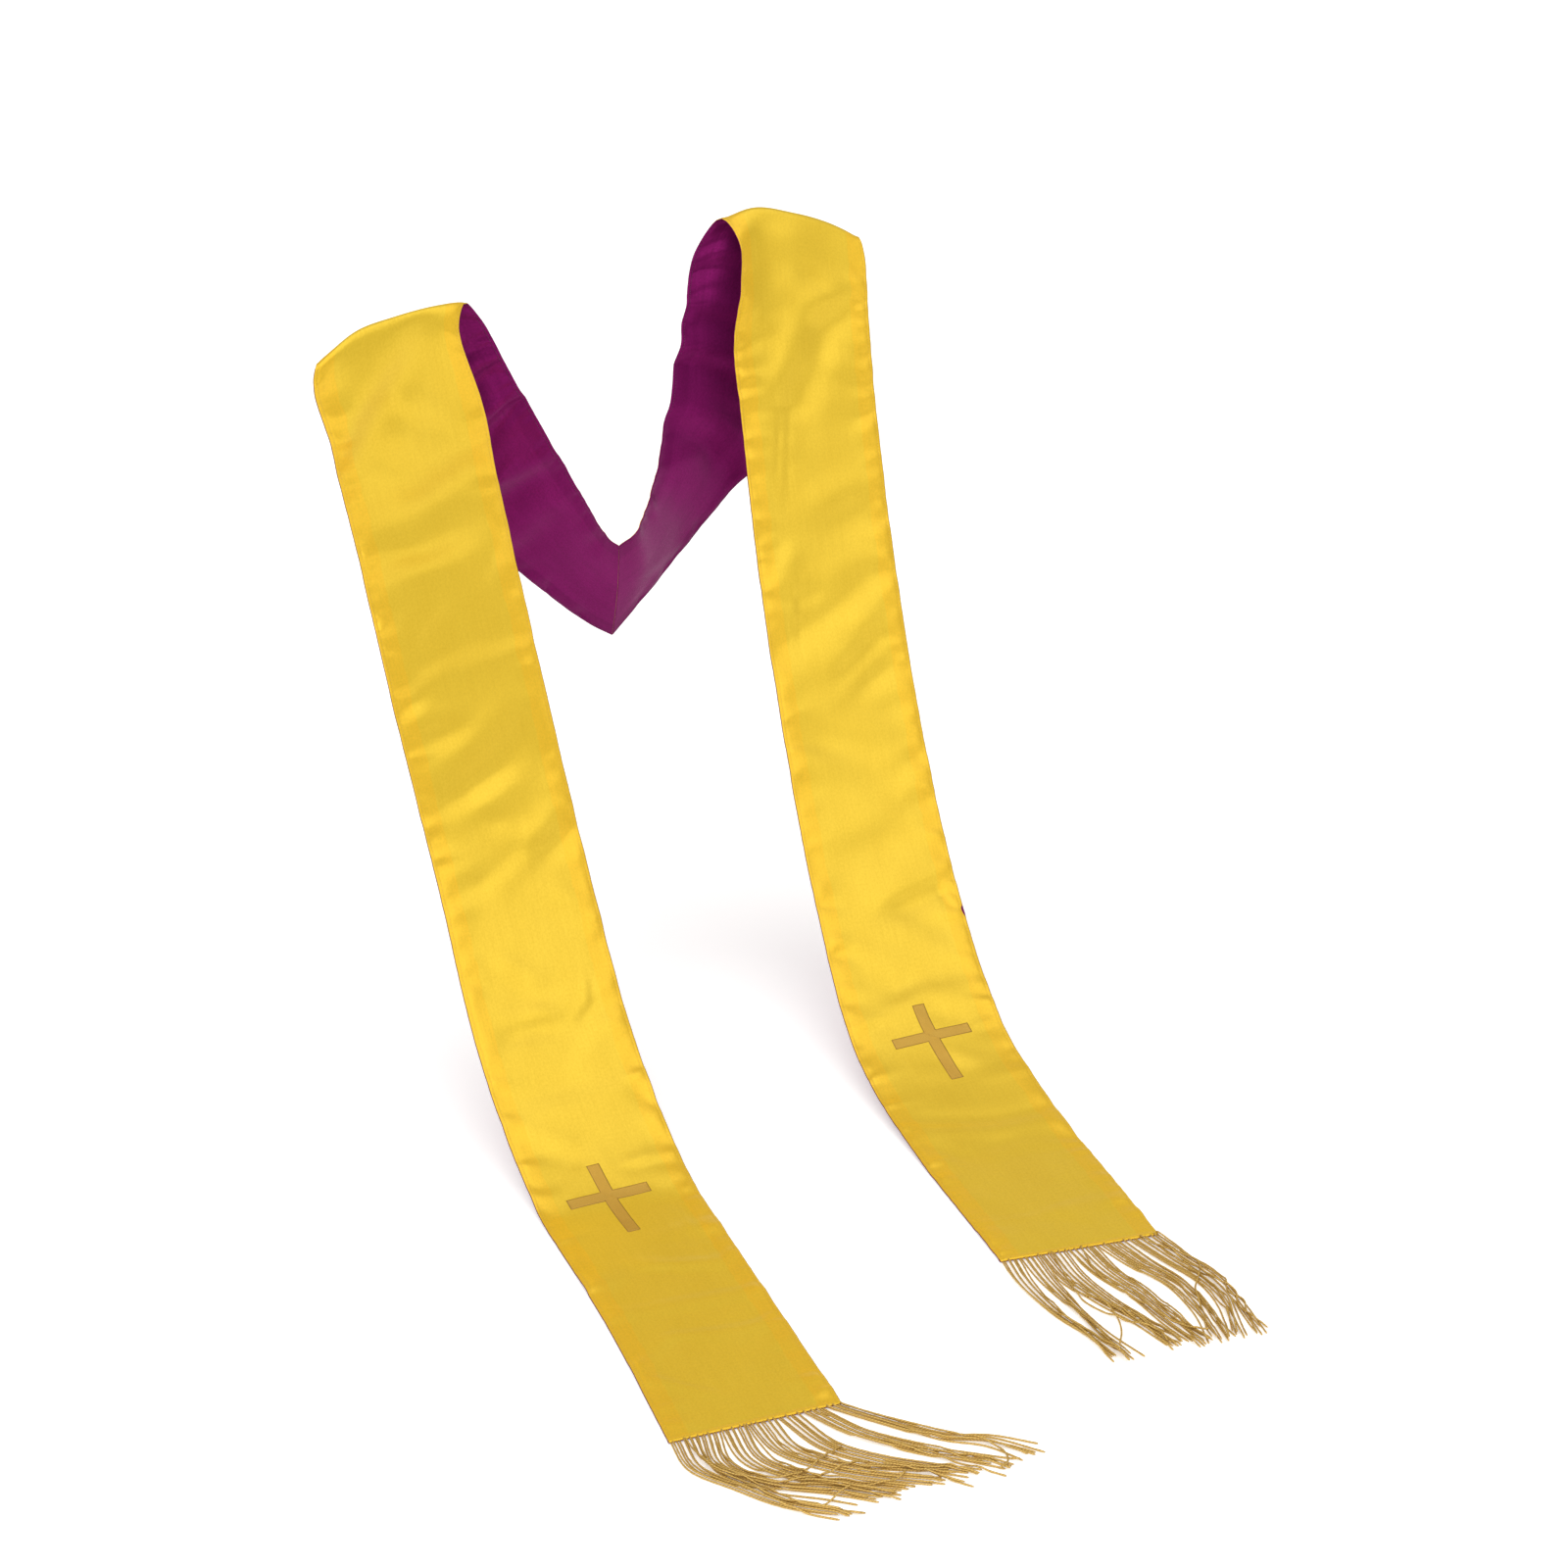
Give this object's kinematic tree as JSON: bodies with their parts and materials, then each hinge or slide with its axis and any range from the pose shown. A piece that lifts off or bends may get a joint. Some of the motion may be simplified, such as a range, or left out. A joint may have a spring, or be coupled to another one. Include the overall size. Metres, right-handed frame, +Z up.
{
  "type": "clerical stole",
  "caption": "Reversible clerical stole of gold and purple satin with crosses and corded fringe, held up by two folds with its ends lying on the floor.",
  "frame": {"origin": "the place on the left fold where the stole is held up", "axes": "+Z up, +Y away from the viewer towards the right fold and the neck seam, +X to the viewer's right"},
  "size_m": [0.7133, 1.0901, 0.6216],
  "materials": {
    "gold_satin": "smooth satin weave with a soft sheen, gold yellow",
    "purple_satin": "smooth satin weave with a soft sheen, deep purple",
    "metallic_gold": "metallic gold thread, closely laid",
    "gold_cord": "twisted gold cords with a dull metallic lustre"
  },
  "bodies": {
    "root": {"outer_left": "gold_satin", "outer_right": "gold_satin", "lining_left": "purple_satin", "lining_right": "purple_satin", "cross_left": "metallic_gold", "cross_right": "metallic_gold", "fringe_left": "gold_cord", "fringe_right": "gold_cord"}
  },
  "joints": []
}
